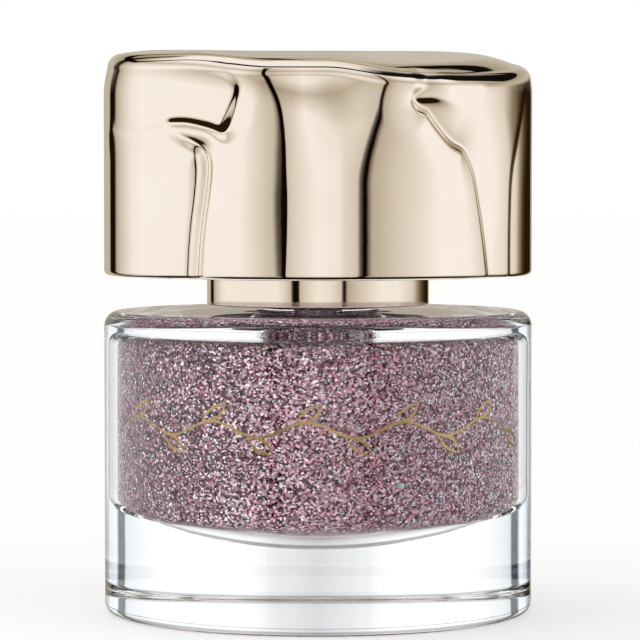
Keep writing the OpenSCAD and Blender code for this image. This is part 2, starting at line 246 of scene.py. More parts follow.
def gold_sleeve():
    """Polished anodised sleeve with fine turning marks round it."""
    shader = Shader("champagne_gold_sleeve")
    ring = shader.vector("MULTIPLY", shader.object_place, (1, 1, 60))
    marks = shader.noise(4 * MM, 2.0, ring)
    tint = shader.ramp(marks, [(0.3, (0.88, 0.78, 0.66)), (0.7, (0.91, 0.81, 0.695))])
    shader.set(Base_Color=tint, Metallic=1.0, Roughness=shader.span(marks, 0.03, 0.07))
    shader.set(Normal=shader.bump(marks, 0.0006 * MM))
    return shader.material


def clear_glass():
    """Clear flint glass with the faint waviness of a pressed mould."""
    shader = Shader("clear_flint_glass")
    shader.set(Base_Color=(0.985, 0.995, 1.0, 1), Roughness=0.0, IOR=1.5, Transmission_Weight=1.0)
    shader.set(Normal=shader.bump(shader.noise(9 * MM, 1.0), 0.012 * MM))
    return shader.material


def wetted_glass():
    """Inside of the glass where lacquer touches it: the lacquer bends light nearly as much as the glass
    does, so the wall only mirrors where it is seen at a very low angle."""
    shader = Shader("lacquer_wetted_glass")
    glass_index, lacquer_index = 1.5, 1.43
    shader.set(Base_Color=(1.0, 1.0, 1.0, 1), Roughness=0.0, IOR=glass_index / lacquer_index)
    shader.set(Transmission_Weight=1.0, Normal=shader.bump(shader.noise(6 * MM, 1.0), 0.004 * MM))
    return shader.material


# Size of one glitter flake
FLAKE = 0.2 * MM


def glitter_lacquer():
    """Clear lacquer packed with silver, pink and plum flakes that lie at all angles."""
    shader = Shader("glitter_lacquer")
    flakes = shader.node("ShaderNodeTexVoronoi", Vector=shader.object_place, Scale=1 / FLAKE)
    tones = shader.node("ShaderNodeSeparateColor", Color=flakes.outputs["Color"]).outputs
    palette = [
        (0.0, (0.05, 0.015, 0.024)), (0.14, (0.17, 0.065, 0.09)), (0.32, (0.42, 0.2, 0.26)),
        (0.52, (0.66, 0.38, 0.45)), (0.7, (0.86, 0.63, 0.69)), (0.84, (0.98, 0.88, 0.91)),
        (0.94, (1.0, 0.98, 0.99)), (0.972, (0.35, 0.75, 0.85)), (0.984, (0.95, 0.25, 0.3)),
        (0.993, (0.45, 0.85, 0.55)),
    ]
    colour = shader.ramp(tones["Red"], palette, "CONSTANT")
    lean = shader.vector("SUBTRACT", flakes.outputs["Color"], (0.5, 0.5, 0.5))
    normal = shader.node("ShaderNodeNewGeometry").outputs["Normal"]
    tilted = shader.vector("ADD", normal, shader.vector("SCALE", lean, scale=1.5))
    shader.set(Base_Color=colour, Metallic=0.8, Roughness=0.25, IOR=1.2)
    shader.set(Normal=shader.vector("NORMALIZE", tilted))
    return shader.material


def foil():
    """Hot-stamped gold foil, a little broken up by the glass under it."""
    shader = Shader("gold_foil")
    grain = shader.noise(0.25 * MM, 4.0)
    tint = shader.ramp(grain, [(0.35, (0.42, 0.28, 0.10)), (0.65, (0.62, 0.46, 0.22))])
    shader.set(Base_Color=tint, Metallic=0.9, Roughness=shader.span(grain, 0.22, 0.4))
    shader.set(Normal=shader.bump(grain, 0.004 * MM))
    return shader.material


def moulded_plastic(name, dark, light, roughness, grain=0.35 * MM):
    """Moulded plastic with a fine spark-eroded grain."""
    shader = Shader(name)
    cloud = shader.noise(5 * MM)
    shader.set(Base_Color=shader.ramp(cloud, [(0.3, dark), (0.7, light)]))
    shader.set(Roughness=shader.span(shader.noise(2 * MM), roughness - 0.06, roughness + 0.06))
    shader.set(Normal=shader.bump(shader.noise(grain, 2.0), 0.01 * MM))
    return shader.material


def metal(name, dark, light, roughness, grain):
    """Plain metal with fine grain and faint blotches."""
    shader = Shader(name)
    blotch = shader.noise(3 * MM)
    shader.set(Base_Color=shader.ramp(blotch, [(0.3, dark), (0.7, light)]), Metallic=1.0)
    shader.set(Roughness=shader.span(shader.noise(grain), roughness * 0.7, roughness * 1.3))
    shader.set(Normal=shader.bump(shader.noise(grain, 2.0), 0.002 * MM))
    return shader.material


def bristle_fibre(tip_z, root_z):
    """Black nylon, wetted towards its tip with the pink glitter lacquer."""
    shader = Shader("bristle_fibre")
    height = shader.node("ShaderNodeSeparateXYZ", Vector=shader.object_place).outputs["Z"]
    wet = shader.node("ShaderNodeMapRange", Value=height)
    wet.inputs["From Min"].default_value = tip_z
    wet.inputs["From Max"].default_value = root_z
    streak = shader.maths("ADD", wet.outputs["Result"], shader.span(shader.noise(0.5 * MM), -0.12, 0.12))
    fibre = [(0.0, (0.34, 0.19, 0.25)), (0.55, (0.24, 0.13, 0.17)), (0.85, (0.025, 0.02, 0.022))]
    shader.set(Base_Color=shader.ramp(streak, fibre), Roughness=0.3, Coat_Weight=0.4)
    shader.set(Normal=shader.bump(shader.noise(0.15 * MM), 0.004 * MM))
    return shader.material


# ---------------------------------------------------------------- overcap

# A place on the overcap's wall is (azimuth in degrees from the front towards +X, height in mm above
# the lower rim). Each fold is a valley along a line of (azimuth, height, depth in mm). On the line's
# left and right hand the wall comes back to full radius over a reach in mm, and a share of the depth
# is a steep lip of a given width in mm right beside the line.
FOLDS = {
    "flap": dict(
        line=[
            (-40, 22.3, 0.0), (-32, 22.3, 0.04), (-26.3, 22.0, 0.08), (-22.2, 21.0, 0.12),
            (-20.5, 20.0, 0.15), (-21.0, 18.6, 0.22), (-22.6, 16.9, 0.5), (-24.4, 15.7, 0.8),
            (-26.2, 15.3, 0.8), (-30, 15.8, 0.7), (-36.3, 16.3, 0.6), (-41.6, 16.35, 0.5),
            (-43.5, 16.2, 0.2),
        ],
        left=(2.4, 0.0, 1), right=(2.4, 0.8, 0.75),
    ),
    "crease": dict(
        line=[
            (-43.8, 15.9, 0.1), (-42.3, 15.6, 0.3), (-38.2, 14.9, 0.55), (-33.7, 14.1, 0.95),
            (-31.6, 13.2, 1.4), (-31.1, 11.5, 1.6), (-32.0, 8.5, 1.6), (-33.1, 6, 1.6),
            (-34.1, 2.5, 1.6), (-34.6, -2, 1.6),
        ],
        left=(5.0, 0.17, 0.5), right=(4.8, 0.3, 0.9),
    ),
    "shelf": dict(
        line=[(-44, 15.7, 0.3), (-50, 15.5, 0.32), (-58, 15.4, 0.3), (-68, 15.5, 0.1)],
        left=(3.6, 0.0, 1), right=(2.4, 0.0, 1),
    ),
    "knot": dict(
        line=[
            (37, 21.4, 0.1), (34.9, 21.0, 0.25), (30.5, 20.2, 0.6), (27.6, 19.5, 0.7),
            (26.4, 18.9, 0.8), (27.8, 18.2, 1.05), (30.6, 17.7, 1.05), (33.5, 16.3, 1.05),
            (38.1, 14.6, 1.05), (43.1, 13.6, 1.05), (46.8, 11.4, 1.0), (48.8, 8.2, 0.85),
            (50.6, 4.2, 0.65), (52, 0.5, 0.55), (52.5, -2, 0.5),
        ],
        left=(7.5, 0.0, 1), right=(4.4, 0.4, 0.8),
    ),
    "edge": dict(
        line=[
            (72, 19, 0.1), (67.5, 14.5, 0.3), (64, 10.5, 0.4), (62.9, 5, 0.4), (62.8, 0, 0.4),
            (62.8, -2, 0.4),
        ],
        left=(3.5, 0.0, 1), right=(1.8, 0.0, 1),
    ),
    "side": dict(
        line=[
            (-100, 21, 0.2), (-97, 15, 0.7), (-99, 9, 1.1), (-104, 5, 1.2), (-107, 0, 1.2),
            (-108, -2, 1.2),
        ],
        left=(4.5, 0.0, 1), right=(6, 0.3, 1),
    ),
    "back_left": dict(
        line=[
            (-134, 22, 0.2), (-127, 19.5, 0.5), (-125, 15, 1.0), (-132, 12.5, 0.9), (-141, 12, 0.4),
            (-138, 9.5, 0.8), (-133, 5, 1.5), (-134, -2, 1.6),
        ],
        left=(5, 0.0, 1), right=(5.5, 0.4, 1),
    ),
    "back_right": dict(
        line=[(108, 20, 0.6), (104, 16, 1.2), (110, 12, 1.2), (121, 10, 1.0), (127, 6, 0.8), (128, -2, 0.6)],
        left=(5, 0.2, 1), right=(4.5, 0.0, 1),
    ),
    "back_mid": dict(
        line=[(170, -2, 1.3), (166, 6, 1.3), (157, 11, 1.2), (154, 16, 0.9), (160, 20.5, 0.3)],
        left=(5, 0.3, 1), right=(5, 0.0, 1),
    ),
}


def flowing(points, steps=8):
    """A smooth curve through the given points."""
    points = np.array(points, float)
    padded = np.vstack((2 * points[0] - points[1], points, 2 * points[-1] - points[-2]))
    t = np.linspace(0, 1, steps, endpoint=False)[:, None]
    parts = []
    for a, b, c, d in zip(padded, padded[1:], padded[2:], padded[3:]):
        squared = 2 * a - 5 * b + 4 * c - d
        cubed = 3 * b - a - 3 * c + d
        parts.append(0.5 * (2 * b + (c - a) * t + squared * t**2 + cubed * t**3))
    return np.vstack(parts + [points[-1:]])


def fold_relief(across, up, fold):
    """Depth in mm of one fold at each place on the unrolled wall."""
    path = flowing([(a * MM_PER_DEGREE, h, depth) for a, h, depth in fold["line"]])
    # On a tie between two stretches of the line, the one seen more from its side wins
    tie_break = 1e-3
    # Keeps the weight of a stretch finite for a place that lies on it, in square mm
    nearest = 0.02
    best = np.full(across.shape, np.inf)
    signed = np.zeros(across.shape)
    weight_sum = np.zeros(across.shape)
    depth_sum = np.zeros(across.shape)
    for a, b in zip(path, path[1:]):
        run, rise = b[:2] - a[:2]
        length = math.hypot(run, rise)
        dx, dy = across - a[0], up - a[1]
        along = np.clip((dx * run + dy * rise) / length**2, 0, 1)
        distance = np.hypot(dx - along * run, dy - along * rise)
        side = (run * dy - rise * dx) / length
        rank = distance - np.abs(side) * tie_break
        nearer = rank < best
        best = np.where(nearer, rank, best)
        signed = np.where(nearer, np.where(side < 0, -distance, distance), signed)
        weight = length / (distance**2 + nearest) ** 2
        weight_sum += weight
        depth_sum += weight * (a[2] + (b[2] - a[2]) * along)
    shares = []
    for hand, (reach, lip, lip_width) in ((1, fold["left"]), (-1, fold["right"])):
        away = hand * signed
        slope = np.clip(1 - away / reach, 0, 1) ** 2
        step = np.clip(1 - away / lip_width, 0, 1)
        shares.append((1 - lip) * slope + lip * step)
    return depth_sum / weight_sum * np.where(signed > 0, shares[0], shares[1])


# Soft ridges along both sides of the smooth column between the two front folds, as (azimuth, height)
COLUMN_LEFT = [
    (-8.7, -1), (-8.1, 3), (-7.8, 8), (-8.1, 11), (-8.4, 14), (-8.9, 16), (-9.5, 17.5), (-10.7, 19),
    (-13, 20.5), (-17, 22.5),
]
COLUMN_RIGHT = [(6, -1), (6, 24)]


def ridge(azimuth, height, crest, left_slope, right_slope, reach):
    """Depth in mm beside a soft ridge that falls away on both sides and dies out within its reach."""
    path = flowing(crest)
    away = (azimuth - np.interp(height, path[:, 1], path[:, 0])) * MM_PER_DEGREE
    slope = np.where(away < 0, left_slope, right_slope)
    return slope * np.abs(away) * np.exp(-np.abs(away) / reach)


def wall_relief(azimuth, height):
    """Depth in mm of the overcap's wall below its full radius."""
    across = azimuth * MM_PER_DEGREE
    relief = sum(fold_relief(across, height, fold) ** 4 for fold in FOLDS.values()) ** 0.25
    # The column leans back towards its top
    beside = (azimuth - 2) * MM_PER_DEGREE
    to_right = smooth_step(-6, 10, azimuth)
    lean_left = 1.6 * np.clip((height - 12) / 10, 0, 2) ** 4 * np.exp(-((beside / 9.5) ** 2))
    lean_right = 1.7 * np.clip((height - 9) / 13, 0, 2) ** 2.5 * np.exp(-((beside / 8) ** 2))
    relief += lean_left * (1 - to_right) + lean_right * to_right
    # The wall begins to lean back a little under the rim
    relief += 0.045 * np.clip(height - 19.5, 0, 4) ** 2 * (1 - np.exp(-((beside / 9) ** 2)))
    relief += ridge(azimuth, height, COLUMN_LEFT, 0.07, 0.0, 5)
    relief += ridge(azimuth, height, COLUMN_RIGHT, 0.0, 0.045, 8) * (1 - smooth_step(10, 17, height))
    return relief


def blurred(grid, sigma_rows, sigma_columns):
    """Gaussian blur of a grid whose columns wrap round."""
    for axis, sigma in ((0, sigma_rows), (1, sigma_columns)):
        if sigma <= 0:
            continue
        reach = int(3 * sigma) + 1
        offsets = np.arange(-reach, reach + 1)
        weights = np.exp(-0.5 * (offsets / sigma) ** 2)
        weights /= weights.sum()
        mode = "wrap" if axis else "edge"
        pad = [(0, 0), (0, 0)]
        pad[axis] = (reach, reach)
        padded = np.pad(grid, pad, mode=mode)
        size = grid.shape[axis]
        grid = sum(w * np.take(padded, range(k, k + size), axis=axis) for k, w in enumerate(weights))
    return grid


def top_height(x, y):
    """Height in mm of the overcap's top over its lower rim, for x and y in mm. It drops towards the
    front, more so on the right, and falls away in a soft edge near the rim."""
    height, radius = OVERCAP_H / MM, OVERCAP_R / MM
    drop = 0.9 + 0.75 * smooth_step(-14, -5, x) + 0.8 * smooth_step(1, 9, x)
    crown = 0.5 + 0.9 * smooth_step(0, 18, x)
    edge_w = 8
    edge = smooth_step(radius - edge_w, radius, np.hypot(x, y))
    return height - drop * smooth_step(17, -22, y) - crown * edge**2


def overcap_shell(material):
    """The dented overcap: wall, rounded edge and sloping top outside, a plain round bore inside."""
    columns, foot_rows, wall_rows, edge_rows, top_rows = 960, 6, 170, 14, 56
    # Blur that rounds the folds' sharp edges, in rows and columns of the mesh
    softness = 1.1
    edge_r, foot_r = 1.6, 0.5
    radius = OVERCAP_R / MM
    azimuth = np.linspace(-180, 180, columns, endpoint=False)
    turn = np.radians(azimuth)
    sine, cosine = np.sin(turn), -np.cos(turn)
    rim_h = top_height((radius - edge_r) * sine, (radius - edge_r) * cosine) - edge_r

    share = np.linspace(0, 1, wall_rows)[:, None]
    height = foot_r + (rim_h[None, :] - foot_r) * share
    relief = wall_relief(np.tile(azimuth, (wall_rows, 1)), height)
    relief = blurred(relief, softness, softness)
    wall = radius - relief
    rim_r = wall[-1]

    rings_r, rings_h = [], []
    for t in np.radians(np.linspace(0, 90, foot_rows + 1))[:-1]:
        rings_r.append(wall[0] - foot_r * (1 - math.sin(t)))
        rings_h.append(np.full(columns, foot_r * (1 - math.cos(t))))
    rings_r += list(wall)
    rings_h += list(height)
    for t in np.radians(np.linspace(0, 90, edge_rows + 1))[1:]:
        rings_r.append(rim_r - edge_r * (1 - math.cos(t)))
        rings_h.append(rim_h + edge_r * math.sin(t))
    for part in np.linspace(1, 0, top_rows)[1:-1]:
        # The rim's ripples shrink towards the middle of the top
        r = (rim_r - edge_r) * part
        rings_r.append(r)
        rings_h.append(top_height(r * sine, r * cosine))
    # Bore, from its ceiling down to the lower rim
    bore_r = OVERCAP_BORE_R / MM
    ceiling = (weight_top - overcap_bottom) / MM
    inner = [(0.5 * bore_r, ceiling), (bore_r, ceiling), (bore_r, 0.5 * ceiling), (bore_r, 0.0)]

    outer_r, outer_h = np.array(rings_r), np.array(rings_h)
    points = np.stack((outer_r * sine, outer_r * cosine, outer_h), axis=2).reshape(-1, 3)
    rows = len(outer_r)
    bore = np.array([[(r * s, r * c, h) for s, c in zip(sine, cosine)] for r, h in inner]).reshape(-1, 3)
    top_centre = len(points) + len(bore)
    points = np.vstack((points, bore, [(0, 0, float(top_height(0, 0)))], [(0, 0, ceiling)]))
    faces = [tuple(f) for f in strip_faces(rows, columns)]
    first_bore = rows * columns
    faces += [tuple(f + first_bore) for f in strip_faces(len(inner), columns)]
    last_row, last_bore = (rows - 1) * columns, first_bore + (len(inner) - 1) * columns
    for j in range(columns):
        beside = (j + 1) % columns
        faces.append((last_row + j, last_row + beside, top_centre))
        faces.append((first_bore + beside, first_bore + j, top_centre + 1))
        faces.append((last_bore + j, last_bore + beside, beside, j))
    points = points * MM + np.array((0, 0, overcap_bottom))
    piece = mesh_piece("overcap_dented_shell", points, faces, material, sharp_angle=60)
    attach(piece, "overcap")
    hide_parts("overcap_shell")
    return piece


# ---------------------------------------------------------------- bottle

def neck_thread(radius, height, turn):
    """Raises the right-handed screw ridge on the neck."""
    pitch, turns, fade_turns = 2.117 * MM, 2.0, 0.25
    crest_h, crest_half, foot_half = 0.8 * MM, 0.22 * MM, 0.55 * MM
    start = SHOULDER_Z + 4.9 * MM
    on_neck = np.abs(radius - NECK_R) < 0.01 * MM
    travelled = (height - start) / pitch - turn / (2 * math.pi)
    lap = np.round(travelled)
    off_ridge = np.abs(travelled - lap) * pitch
    raised = 1 - smooth_step(crest_half, foot_half, off_ridge)
    run = lap + turn / (2 * math.pi)
    fade = smooth_step(0, fade_turns, run) * (1 - smooth_step(turns - fade_turns, turns, run))
    return radius + np.where(on_neck, crest_h * raised * fade, 0)


def chamber_profile():
    """Inside of the bottle from the middle of its bowl-shaped floor up to the neck bore."""
    bowl_r, corner_r, roof_r = 35 * MM, 2 * MM, 1.2 * MM
    bowl_z = chamber_floor + bowl_r
    corner_x = CHAMBER_R - corner_r
    corner_z = bowl_z - math.sqrt((bowl_r - corner_r) ** 2 - corner_x**2)
    bowl_edge = -math.degrees(math.acos(corner_x / (bowl_r - corner_r)))
    profile = [(0, chamber_floor)]
    profile += arc(0, bowl_z, bowl_r, -90, bowl_edge, 16)[1:]
    profile += arc(corner_x, corner_z, corner_r, bowl_edge, 0, 16)[1:]
    profile += arc(CHAMBER_R - roof_r, CHAMBER_TOP - roof_r, roof_r, 0, 90, 12)
    return profile


def glass_bottle(material, wet_material):
    """The whole bottle: thick wall and base, shoulder, bead and threaded neck. The part of the inside
    that the lacquer touches has the second material."""
    base_r, shoulder_r, lip_r = 1.2 * MM, 1.6 * MM, 0.5 * MM
    hollow_h, hollow_r, hollow_edge_r, foot_r = 0.4 * MM, 17.5 * MM, 0.2 * MM, 19.5 * MM
    bead_r, bead_z, bead_h = 7.6 * MM, SHOULDER_Z + 1.1 * MM, 0.8 * MM
    outer = [(0, hollow_h)]
    outer += line((0, hollow_h), (hollow_r, hollow_h), 4)
    outer += arc(hollow_r + 0.5 * MM, hollow_edge_r, hollow_edge_r, 90, 20, 4)
    outer += [(foot_r, 0)]
    outer += arc(GLASS_R - base_r, base_r, base_r, -90, 0, 16)
    outer += line((GLASS_R, base_r), (GLASS_R, SHOULDER_Z - shoulder_r), 12)[:-1]
    outer += arc(GLASS_R - shoulder_r, SHOULDER_Z - shoulder_r, shoulder_r, 0, 90, 16)
    outer += line((GLASS_R - shoulder_r, SHOULDER_Z), (NECK_R + 0.4 * MM, SHOULDER_Z), 8)
    outer += [(NECK_R, SHOULDER_Z + 0.2 * MM)]
    outer += [(NECK_R, bead_z - bead_h), (bead_r, bead_z - bead_h / 2), (bead_r, bead_z + bead_h / 2)]
    outer += line((NECK_R, bead_z + bead_h), (NECK_R, neck_top - lip_r), 80)
    outer += arc(NECK_R - lip_r, neck_top - lip_r, lip_r, 0, 90, 8)
    inner = arc(BORE_R + lip_r, neck_top - lip_r, lip_r, 90, 180, 8)
    inner += line((BORE_R, neck_top - lip_r), (BORE_R, CHAMBER_TOP + 0.3 * MM), 10)
    inner += [(BORE_R + 0.3 * MM, CHAMBER_TOP)]
    inner += chamber_profile()[::-1]
    piece = lathe("glass_bottle_body", outer + inner, material, 256, neck_thread)
    piece.data.materials.append(wet_material)
    underside_top = 1 * MM
    for face in piece.data.polygons:
        across, up = math.hypot(face.center.x, face.center.y), face.center.z
        if across < CHAMBER_R + 0.1 * MM and underside_top < up < polish_top:
            face.material_index = 1
    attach(piece, "bottle")
    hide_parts("glass_bottle")
    return piece


def polish(material):
    """The lacquer's flakes, a hair inside the wetted glass."""
    gap, well_r = 0.03 * MM, 2.3 * MM
    half_way = 20 * MM
    neck_edge_r = BORE_R - gap
    profile = [(max(r - gap, 0), z + gap if z < half_way else z - gap) for r, z in chamber_profile()]
    profile += [(neck_edge_r, CHAMBER_TOP - gap)]
    profile += line((neck_edge_r, CHAMBER_TOP - gap), (neck_edge_r, polish_top), 4)
    profile += [(well_r, polish_top - 0.15 * MM)]
    profile += [(well_r, chamber_floor + 2.4 * MM), (0, chamber_floor + 2.2 * MM)]
    piece = lathe("glitter_polish_body", profile, material, 192)
    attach(piece, "bottle")
    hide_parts("polish_fill")
    return piece


# ---------------------------------------------------------------- foil on the glass

# Width of the foil's line, in mm, as the strokes' paths are
FOIL_LINE_W = 0.3


def stroke(path, width):
    """Points and faces of a thin closed ribbon on the bottle, along a path of (mm round, mm up)."""
    outer_r, inner_r = GLASS_R + 0.009 * MM, GLASS_R - 0.004 * MM
    path = np.array(path, float)
    ahead = np.gradient(path, axis=0)
    ahead /= np.hypot(ahead[:, 0], ahead[:, 1])[:, None]
    beside = np.stack((-ahead[:, 1], ahead[:, 0]), axis=1)
    # The stroke swells in the middle and thins out at both ends, as a pen stroke does
    part = np.linspace(0, 1, len(path))
    half = width / 2 * (0.35 + 0.65 * np.sin(np.pi * part))[:, None]
    corners = []
    for radius, side in ((outer_r, 1), (outer_r, -1), (inner_r, -1), (inner_r, 1)):
        edge = path + side * half * beside
        turn = edge[:, 0] * MM / GLASS_R
        corners.append(np.stack((radius * np.sin(turn), -radius * np.cos(turn), edge[:, 1] * MM), axis=1))
    points = np.stack(corners, axis=1).reshape(-1, 3)
    faces = [tuple(f) for f in strip_faces(len(path), 4)]
    last = len(points) - 4
    faces += [(3, 2, 1, 0), (last, last + 1, last + 2, last + 3)]
    return points, faces


def vine_strokes():
    """A stem that sways round the front of the bottle, with an open leaf on each side of every sway."""
    middle_z, sway, sways = 21.6, 0.8, 5
    start, end = -24.5, 27.5
    wave = (end - start) / sways

    def stem(across):
        return middle_z + sway * math.sin(2 * math.pi * (across - start) / wave)

    across = np.linspace(start, end, 40 * sways)
    strokes = [[(a, stem(a)) for a in across]]
    leaf_l, leaf_w = 3.4, 1.15
    part = np.linspace(0, 1, 24)
    for count in range(2 * sways):
        root = start + wave * (count / 2 + 0.12)
        up = -1 if count % 2 else 1
        lean = math.radians(34) * up
        for side in (1, -1):
            along = 0.25 + leaf_l * part
            out = side * leaf_w / 2 * np.sin(np.pi * part) + 0.5 * up * (part - 0.5) ** 2
            leaf_across = root + along * math.cos(lean) - out * math.sin(lean)
            leaf_up = stem(root) + along * math.sin(lean) + out * math.cos(lean)
            strokes.append(list(zip(leaf_across, leaf_up)))
    return strokes


def foil_vine(material):
    """Generic stamped decoration in place of the lettering that such a bottle carries."""
    points, faces, count = [], [], 0
    for path in vine_strokes():
        more, around = stroke(path, FOIL_LINE_W)
        points.append(more)
        faces += [tuple(corner + count for corner in face) for face in around]
        count += len(more)
    piece = mesh_piece("foil_vine", np.vstack(points), faces, material)
    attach(piece, "bottle")
    return piece


# ---------------------------------------------------------------- collar

def collar(material):
    """Gold sleeve of the brush cap, with small rolled edges."""
    outer_r, wall, roll = collar_width / 2 - 0.001 * MM, 0.48 * MM, 0.14 * MM
    inner_r = outer_r - wall
    profile = arc(outer_r - roll, collar_bottom + roll, roll, -90, 0, 6)
    profile += line((outer_r, collar_bottom + roll), (outer_r, collar_top - roll), 6)[:-1]
    profile += arc(outer_r - roll, collar_top - roll, roll, 0, 90, 6)
    profile += [(inner_r, collar_top), (inner_r, collar_bottom)]
    piece = lathe("gold_collar_sleeve", profile, material, 192)
    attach(piece, "collar")
    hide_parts("cap_collar")
    return piece


# ---------------------------------------------------------------- brush

def bristles(material):
    """Round tuft of nylon filaments that swells below the stem and closes to a rounded tip."""
    low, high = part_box("brush_tuft")
    socket_h = 2.4 * MM
    tip_z, mouth_z = low.z, high.z - 3 * MM
    in_socket = socket_h / (mouth_z - tip_z)
    belly_r = (high.x - low.x) / 2 - 0.03 * MM
    # Outline of the tuft: share of the length down from the stem, then share of the belly's radius
    lengths, widths = [-0.2, 0.0, 0.35, 0.65, 0.83, 1.0], [0.58, 0.6, 0.88, 0.97, 0.76, 0.55]
    count, sides, rings = 260, 5, 11
    golden = math.pi * (3 - math.sqrt(5))
    fibre_r = 0.05 * MM
    points, faces = [], []
    for i in range(count):
        outward, turn = math.sqrt((i + 0.5) / count), i * golden
        # Outer filaments end higher, which rounds the tip, and no two neighbours end level
        tip_share = 1 - 0.07 * (1 - math.sqrt(1 - outward**2 * 0.98)) - 0.015 * (1 + math.sin(17 * i))
        first = len(points)
        for k in range(rings):
            down = -in_socket + (tip_share + in_socket) * k / (rings - 1)
            reach = belly_r * np.interp(down, lengths, widths)
            sway = 0.05 * MM * math.sin(3 * i + 5 * down) * max(down, 0)
            radius = min(outward * reach + sway, belly_r - fibre_r)
            width = fibre_r * (1 - 0.6 * smooth_step(0.85, 1.0, down / tip_share))
            centre_x, centre_y = radius * math.cos(turn), radius * math.sin(turn)
            for side in np.linspace(0, 2 * math.pi, sides, endpoint=False):
                z = mouth_z - down * (mouth_z - tip_z)
                points.append((centre_x + width * math.cos(side), centre_y + width * math.sin(side), z))
        faces += [tuple(int(corner) + first for corner in face[::-1]) for face in strip_faces(rings, sides)]
        last = len(points) - sides
        faces += [tuple(range(first, first + sides)), tuple(range(last + sides - 1, last - 1, -1))]
    piece = mesh_piece("brush_bristles", points, faces, material)
    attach(piece, "brush_cap")
    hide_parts("brush_tuft")
    return piece


# ---------------------------------------------------------------- stage

def warm(level):
    """Colour of a studio panel: the dimmer it is, the warmer."""
    return level, level**1.17, level**1.5


def neutral(level):
    """Grey of a given brightness."""
    return level, level, level


# Brightness seen round the object at its own height: azimuth in degrees from the front, then level
STUDIO_ROUND = [
    (-180, 0.5), (-150, 0.55), (-148, 0.01), (-139.5, 0.01), (-137, 0.5), (-129, 0.7), (-118, 0.93),
    (-108, 1.0), (-42, 0.98), (-34, 0.8), (-27.5, 0.6), (-26.5, 0.005), (-19.5, 0.005), (-18.5, 0.62),
    (-10, 0.82), (0, 0.98), (13, 0.91), (24.5, 0.68), (25.5, 0.005), (29, 0.005), (30, 0.52),
    (42, 0.7), (56, 0.86), (68, 1.0), (92, 1.0), (116, 0.77), (127, 0.3), (137, 0.08), (148, 0.02),
    (162, 0.02), (165, 0.5), (180, 0.5),
]
# Share of that brightness at each height: sine of the elevation, then share
STUDIO_HEIGHT = [
    (-1.0, 0.02), (-0.55, 0.02), (-0.48, 0.5), (-0.3, 0.9), (-0.2, 1.0), (0.2, 1.0), (0.46, 0.62),
    (0.66, 0.98),
]
# A black strip hangs over the object and runs down to its right: height along it, then brightness
STUDIO_STRIP_LEFT = [(0.82, 1.0), (0.84, 0.01), (0.91, 0.01), (0.93, 1.0)]
STUDIO_STRIP_RIGHT = [(0.82, 1.0), (0.84, 0.01)]
# Colour seen through the glass, from the front to straight behind on either side: a pale blue backdrop
# edge and a slate flag on each side, and a soft grey band in the middle
STUDIO_THROUGH = [
    (0, (1.8, 1.8, 1.8)), (25, (1.75, 1.75, 1.75)), (50, (1.4, 1.4, 1.4)), (85, (0.7, 0.7, 0.7)),
    (101, (0.25, 0.33, 0.42)), (106, (0.45, 0.55, 0.68)), (110, (1.1, 1.2, 1.35)),
    (117.5, (1.2, 1.28, 1.4)), (120, (0.8, 0.9, 1.0)), (121.2, (0.02, 0.05, 0.07)),
    (126.6, (0.02, 0.05, 0.07)), (128, (0.8, 0.83, 0.88)), (138, (0.92, 0.94, 0.96)),
    (152, (1.12, 1.12, 1.12)), (167, (1.1, 1.1, 1.1)), (174, (0.82, 0.82, 0.83)),
    (180, (0.68, 0.685, 0.695)),
]
# Share of it at each height behind the object and in front: sine of the elevation, then share
STUDIO_THROUGH_BACK = [
    (-1.0, 1.0), (0.13, 1.0), (0.2, 0.6), (0.45, 0.55), (0.58, 0.35), (0.66, 1.0), (0.78, 0.85),
    (0.87, 0.55), (0.97, 0.65),
]
STUDIO_THROUGH_FRONT = [(-1.0, 0.7), (-0.4, 0.6), (0.0, 0.9), (0.3, 1.0), (0.6, 0.7), (0.9, 1.1)]
# Brightness behind and above, by the sine of the elevation
STUDIO_BEHIND = [(0.0, 0.5), (0.12, 0.62), (0.35, 0.42), (0.6, 0.55), (0.92, 0.9)]


